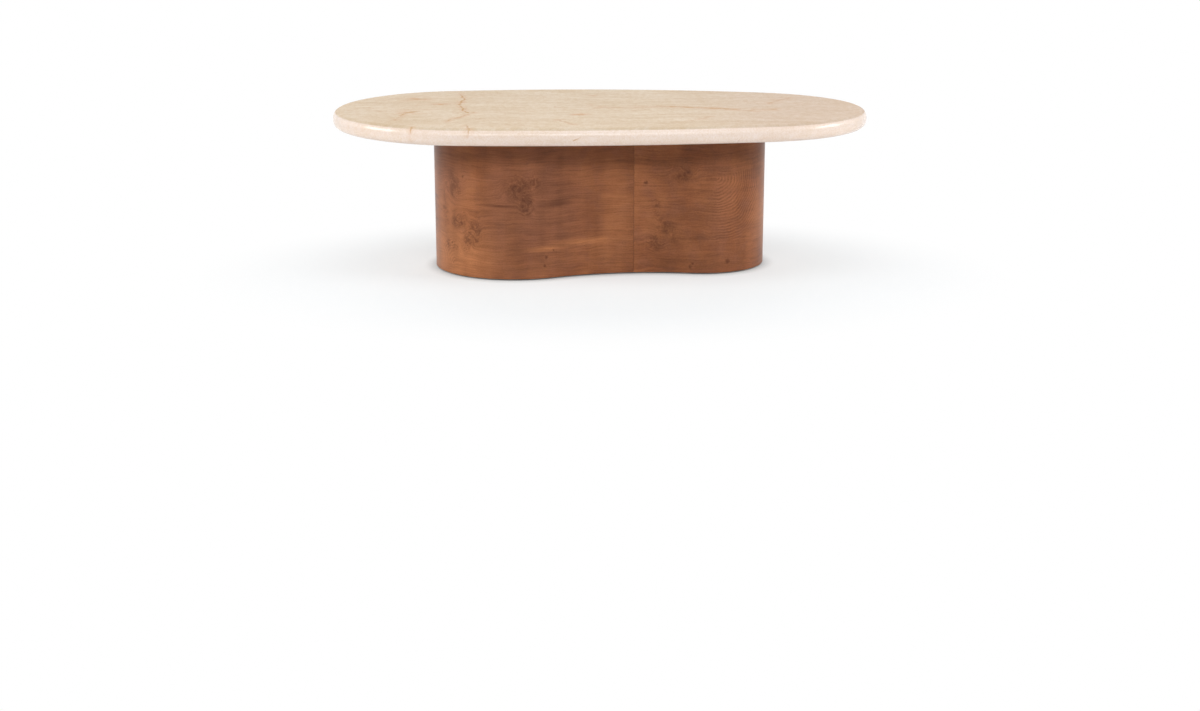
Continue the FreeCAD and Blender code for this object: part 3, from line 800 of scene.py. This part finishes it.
class TABLE_OT_veneer_leaves(Operator):
    """Two burl leaves that wrap the plinth and meet at its seams"""
    bl_idname = "coffee_table.veneer_leaves"
    bl_label = "Veneer Leaves"

    def execute(self, context):
        plinth = context.scene.coffee_table.plinth
        low, high, arris = WALL_LOW.z, SLAB_LOW.z, plinth.veneer / 2
        inset = (plinth.veneer, plinth.veneer, 0.0, 0.0, arris)
        height = (low, high, high, low + arris, low)
        for half, offset in LEAF_OFFSETS.items():
            points, along = wall_surface(plinth, half, inset, height)
            material = burl_material(plinth, f"burl_{half}", offset)
            piece = new_piece(f"veneer_leaf_{half}", points, wall_faces(points), material)
            map_leaf(piece, along, height)
            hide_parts(f"veneer_{half}")
        return {"FINISHED"}


class TABLE_OT_plywood_carcass(Operator):
    """Bent shells behind the veneer, and the boards, ribs and strips inside them"""
    bl_idname = "coffee_table.plywood_carcass"
    bl_label = "Plywood Carcass"

    def execute(self, context):
        plinth = context.scene.coffee_table.plinth
        outer = plinth.veneer + plinth.glue
        inner = outer + plinth.shell
        inset = (inner, inner, outer, outer)
        height = (WALL_LOW.z, SLAB_LOW.z, SLAB_LOW.z, WALL_LOW.z)
        x, y, z = range(3)
        upright, lengthwise = (60, 60, 3), (3, 60, 60)
        bent = plywood_material(plinth, "bent_plywood", through_shell, upright)
        for half in ("left", "right"):
            points, _ = wall_surface(plinth, half, inset, height)
            piece = new_piece(f"bent_shell_{half}", points, wall_faces(points), bent)
            keep_value(piece, "depth", np.tile(np.subtract(inset, outer), len(points)))
            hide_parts(f"shell_{half}")
        stacks = {"plinth_top_board": (z, lengthwise), "plinth_base_board": (z, lengthwise),
                  "left_rib": (x, upright), "right_rib": (x, upright),
                  "front_seam_strip": (y, upright), "back_seam_strip": (y, upright)}
        for name, (axis, grain) in stacks.items():
            stack = along_axis(axis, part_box(name)[0][axis])
            dress(name, plywood_material(plinth, f"{name}_plywood", stack, grain))
        return {"FINISHED"}


def dress(name, material):
    """Gives a CAD node a material in all its slots."""
    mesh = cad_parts[name].data
    mesh.materials.clear()
    mesh.materials.append(material)


def hexagon(angle):
    """Reach of a hexagon of unit half width: 1 / cos of the angle from the nearest flat's middle."""
    return 1 / np.cos((angle + math.pi / 6) % (math.pi / 3) - math.pi / 6)


def pad_rings(radius, height, neck=0.0095, shoulder=0.0040, rim=0.0032, bevel=0.0015, eased=0.0004):
    """A moulded pad: bevelled foot, upright rim, and a hollow top that rises to its neck as share**2.2."""
    share = np.linspace(0, 1, 9)
    reach = np.concatenate([radius - np.array([bevel, eased, 0, 0]), radius - (radius - neck) * share])
    rise = np.concatenate([[0, eased, bevel, rim], shoulder + (height - shoulder) * share**2.2])
    return turned(64, reach, rise)


def hexagon_rings(foot, height, cone_end=1.02, cone_slope=1.2):
    """A hexagon with its corners taken off where a cone cuts them: reach = min(hexagon, cone)."""
    half = foot.hexagon / 2
    chamfer = np.array([0, 0.0003, 0.0010, 0.0016])
    level = np.concatenate([chamfer, height - chamfer[::-1]])
    cone = half * cone_end + cone_slope * np.minimum(level, height - level)
    rings = turned(96, np.full(len(level), half), level, hexagon)
    reach = np.hypot(rings[..., 0], rings[..., 1])
    rings[..., :2] *= np.minimum(1, cone[None, :] / reach)[..., None]
    return rings


def thread_rings(foot, height, rings_per_turn=6, tip=0.0012):
    """A thread with a pointed end: reach = radius - depth |2 frac(level / pitch - angle / turn) - 1|."""
    radius = foot.stud_radius
    rows = int(height / foot.thread_pitch * rings_per_turn)
    level = np.linspace(0, height, rows)
    rings = turned(30, np.full(rows, radius), level)
    angle = np.arctan2(rings[..., 1], rings[..., 0]) / math.tau
    phase = (level[None, :] / foot.thread_pitch - angle) % 1
    reach = radius - foot.thread_depth * np.abs(2 * phase - 1)
    reach = np.minimum(reach, radius - tip + np.maximum(height - level, 0)[None, :])
    rings[..., :2] *= (reach / radius)[..., None]
    return rings


class TABLE_OT_levelling_feet(Operator):
    """Foot pads, hexagons and threaded studs, and the nuts that they turn in"""
    bl_idname = "coffee_table.levelling_feet"
    bl_label = "Levelling Feet"

    def execute(self, context):
        foot = context.scene.coffee_table.foot
        steel, polymer = steel_material(foot), polymer_material(foot)
        for corner in CORNERS:
            pad_low, pad_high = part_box(f"foot_pad_{corner}")
            stud_low, stud_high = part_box(f"foot_stud_{corner}")
            middle = (pad_low + pad_high) / 2
            pad = pad_rings((pad_high.x - pad_low.x) / 2, pad_high.z)
            collar = BASE_BOARD_LOW.z - foot.stop_gap - stud_low.z
            thread = thread_rings(foot, stud_high.z - stud_low.z - collar)
            shapes = (("disc", pad, 0.0, polymer, "foot_polymer", f"foot_pad_{corner}"),
                      ("hexagon", hexagon_rings(foot, collar), stud_low.z, steel, "steel", None),
                      ("thread", thread, stud_low.z + collar, steel, "steel", f"foot_stud_{corner}"))
            for name, rings, level, material, slot, node_name in shapes:
                shape = capped(rings + (middle.x, middle.y, level))
                piece = new_piece(f"foot_{name}_{corner}", *shape, material, f"foot_{corner}")
                if node_name:
                    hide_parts(node_name)
        for side in ("left", "right"):
            dress(f"{side}_foot_nuts", steel)
        return {"FINISHED"}


class TABLE_OT_fixings(Operator):
    """Bolts and washers that hold the slab, and the pan-head screws of the base board"""
    bl_idname = "coffee_table.fixings"
    bl_label = "Fixings"

    def execute(self, context):
        foot = context.scene.coffee_table.foot
        steel = bpy.data.materials["plated_steel"]
        head_height, washer_height, washer_radius, bevel = 0.0053, 0.0016, 0.0120, 0.0003
        head = hexagon_rings(foot, head_height) - (0, 0, head_height + washer_height)
        washer = turned(48, washer_radius - np.array([0, 0, bevel]), [-washer_height, -bevel, 0.0])
        ribs = [sum(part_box(name), Vector()) / 2 for name in ("left_rib", "right_rib")]
        lobes = plinth_arcs(context.scene.coffee_table.plinth).centre
        # Middle of each bay under the top board, and how far its two bolts lie from it
        bays = ((*lobes[0], 0.07), ((ribs[0].x + ribs[1].x) / 2, 0.030, 0.04), (*lobes[2], 0.045))
        spots = [(x, y + side * gap, TOP_BOARD_LOW.z) for x, y, gap in bays for side in (-1, 1)]
        for name, rings in (("bolt_heads", head), ("bolt_washers", washer)):
            piece = new_piece(f"slab_{name}", *copies(*capped(rings), spots), steel)
        # A pan head is a quarter of an oval about its axis: radius sin(turn) at height cos(turn)
        pan_radius, pan_height, first_row, row_step = 0.0042, 0.0024, -0.065, 0.085
        turn = np.linspace(0, math.pi / 2, 7)[1:]
        pan = turned(32, pan_radius * np.sin(turn), -pan_height * np.cos(turn))
        spots = [(rib.x, first_row + row * row_step, BASE_BOARD_LOW.z) for rib in ribs for row in range(3)]
        piece = new_piece("base_board_screws", *copies(*capped(pan), spots), steel)
        return {"FINISHED"}


# Stage

def seen_rays(tree):
    """1 on rays that the picture shows: from the camera, off a reflection or through glass."""
    path = node(tree, "ShaderNodeLightPath").outputs
    kinds = ("Camera", "Glossy", "Transmission")
    return reduce(Field.most, [Field(tree, path[f"Is {kind} Ray"]) for kind in kinds])


def floor_material(stage):
    """A pale floor that shows as white round the table and keeps its shadow."""
    material = bpy.data.materials.new("studio_floor")
    tree = empty_tree(material)
    spread = (place_on(tree) + (0.0, 0.10, 0.0)) * (1.0, 1.35, 1.0)
    far = spread.length().ease(0.48, 0.94)
    closed_in = field(tree, "ShaderNodeAmbientOcclusion", {"Distance": 0.030}, "AO", samples=8)
    pale = rgba([share * stage.floor_share for share in FLOOR_TINT])
    takes_shadow = field(tree, "ShaderNodeBsdfDiffuse", {"Color": pale})
    glow = field(tree, "ShaderNodeEmission", {"Strength": closed_in * stage.floor_glow})
    near_floor = field(tree, "ShaderNodeAddShader", {0: takes_shadow, 1: glow})
    white = field(tree, "ShaderNodeEmission", {"Strength": 1.0})
    shown = field(tree, "ShaderNodeMixShader", {0: far, 1: near_floor, 2: white})
    bounce = field(tree, "ShaderNodeBsdfDiffuse", {"Color": rgba([stage.floor_bounce] * 3)})
    both = field(tree, "ShaderNodeMixShader", {0: seen_rays(tree), 1: bounce, 2: shown})
    node(tree, "ShaderNodeOutputMaterial", {"Surface": both})
    return material


def studio_world(stage):
    """An even sky for light, and white where it is seen."""
    world = bpy.data.worlds.new("studio_sky")
    tree = empty_tree(world)
    strength = seen_rays(tree) * (1.0 - stage.sky) + stage.sky
    sky = field(tree, "ShaderNodeBackground", {"Color": (1.0, 1.0, 1.0, 1.0), "Strength": strength})
    node(tree, "ShaderNodeOutputWorld", {"Surface": sky})
    return world


def softbox(name, place, size, power):
    """A rectangular softbox that faces the middle of the slab."""
    lamp = bpy.data.lights.new(name, "AREA")
    lamp.shape = "RECTANGLE"
    lamp.size, lamp.size_y = size
    lamp.energy = power
    made = bpy.data.objects.new(name, lamp)
    made.location = place
    made.rotation_euler = (Vector((0, 0, SLAB_HIGH.z)) - made.location).to_track_quat("-Z", "Y").to_euler()
    bpy.context.scene.collection.objects.link(made)


class TABLE_OT_stage(Operator):
    """Pale floor, soft studio light and a camera at the photograph's angle"""
    bl_idname = "coffee_table.stage"
    bl_label = "Stage"

    def execute(self, context):
        scene = context.scene
        stage = scene.coffee_table.stage
        reach, count = 40, 9
        line = np.linspace(-reach, reach, count)
        points = np.stack(np.meshgrid(line, line, 0.0, indexing="ij"), -1)
        faces = [grid_faces(count, count, False, False)]
        mesh = new_mesh("studio_floor", points, faces, floor_material(stage))
        floor = bpy.data.objects.new("studio_floor", mesh)
        scene.collection.objects.link(floor)
        scene.world = studio_world(stage)
        softbox("front_softbox", (0.0, -5.2, 2.30), (5.0, 0.8), stage.front_box)
        softbox("back_softbox", (0.0, 5.2, 2.30), (5.0, 0.8), stage.back_box)
        softbox("left_softbox", (-3.45, -0.45, 1.45), (1.6, 1.0), stage.side_box)
        softbox("right_softbox", (3.45, -0.45, 1.45), (1.6, 1.0), stage.side_box)
        softbox("top_softbox", (0.0, -1.25, 3.0), (2.6, 1.0), stage.top_box)
        scene.view_settings.view_transform = "Standard"
        lens = bpy.data.cameras.new("table_camera")
        lens.sensor_width = SENSOR_WIDTH
        lens.lens = stage.focal_pixels / IMAGE_WIDTH * SENSOR_WIDTH
        lens.clip_end = 5 * reach
        camera = bpy.data.objects.new("table_camera", lens)
        camera.location = (0, -stage.camera_distance, stage.camera_height)
        camera.rotation_euler = (math.pi / 2 - stage.camera_tilt, 0, 0)
        scene.collection.objects.link(camera)
        scene.camera = camera
        return {"FINISHED"}


OPERATORS = (TABLE_OT_marble_slab, TABLE_OT_veneer_leaves, TABLE_OT_plywood_carcass,
             TABLE_OT_levelling_feet, TABLE_OT_fixings, TABLE_OT_stage)


class TABLE_PT_pieces(Panel):
    """The table's pieces and the settings that they are made from"""
    bl_idname = "TABLE_PT_pieces"
    bl_label = "Coffee Table"
    bl_space_type = "VIEW_3D"
    bl_region_type = "UI"
    bl_category = "Coffee Table"

    def draw(self, context):
        for operator in OPERATORS:
            self.layout.operator(operator.bl_idname)
        for group in ("slab", "plinth", "foot", "stage"):
            box = self.layout.box()
            box.label(text=group.title())
            settings = getattr(context.scene.coffee_table, group)
            for name in settings.__annotations__:
                box.prop(settings, name)


CLASSES = (SlabSettings, PlinthSettings, FootSettings, StageSettings, TableSettings, *OPERATORS,
           TABLE_PT_pieces)


def register():
    for item in CLASSES:
        bpy.utils.register_class(item)
    bpy.types.Scene.coffee_table = PointerProperty(type=TableSettings)


def unregister():
    del bpy.types.Scene.coffee_table
    for item in reversed(CLASSES):
        bpy.utils.unregister_class(item)


def main():
    register()
    bpy.ops.coffee_table.marble_slab()
    bpy.ops.coffee_table.veneer_leaves()
    bpy.ops.coffee_table.plywood_carcass()
    bpy.ops.coffee_table.levelling_feet()
    bpy.ops.coffee_table.fixings()
    bpy.ops.coffee_table.stage()


if __name__ == "__main__":
    main()
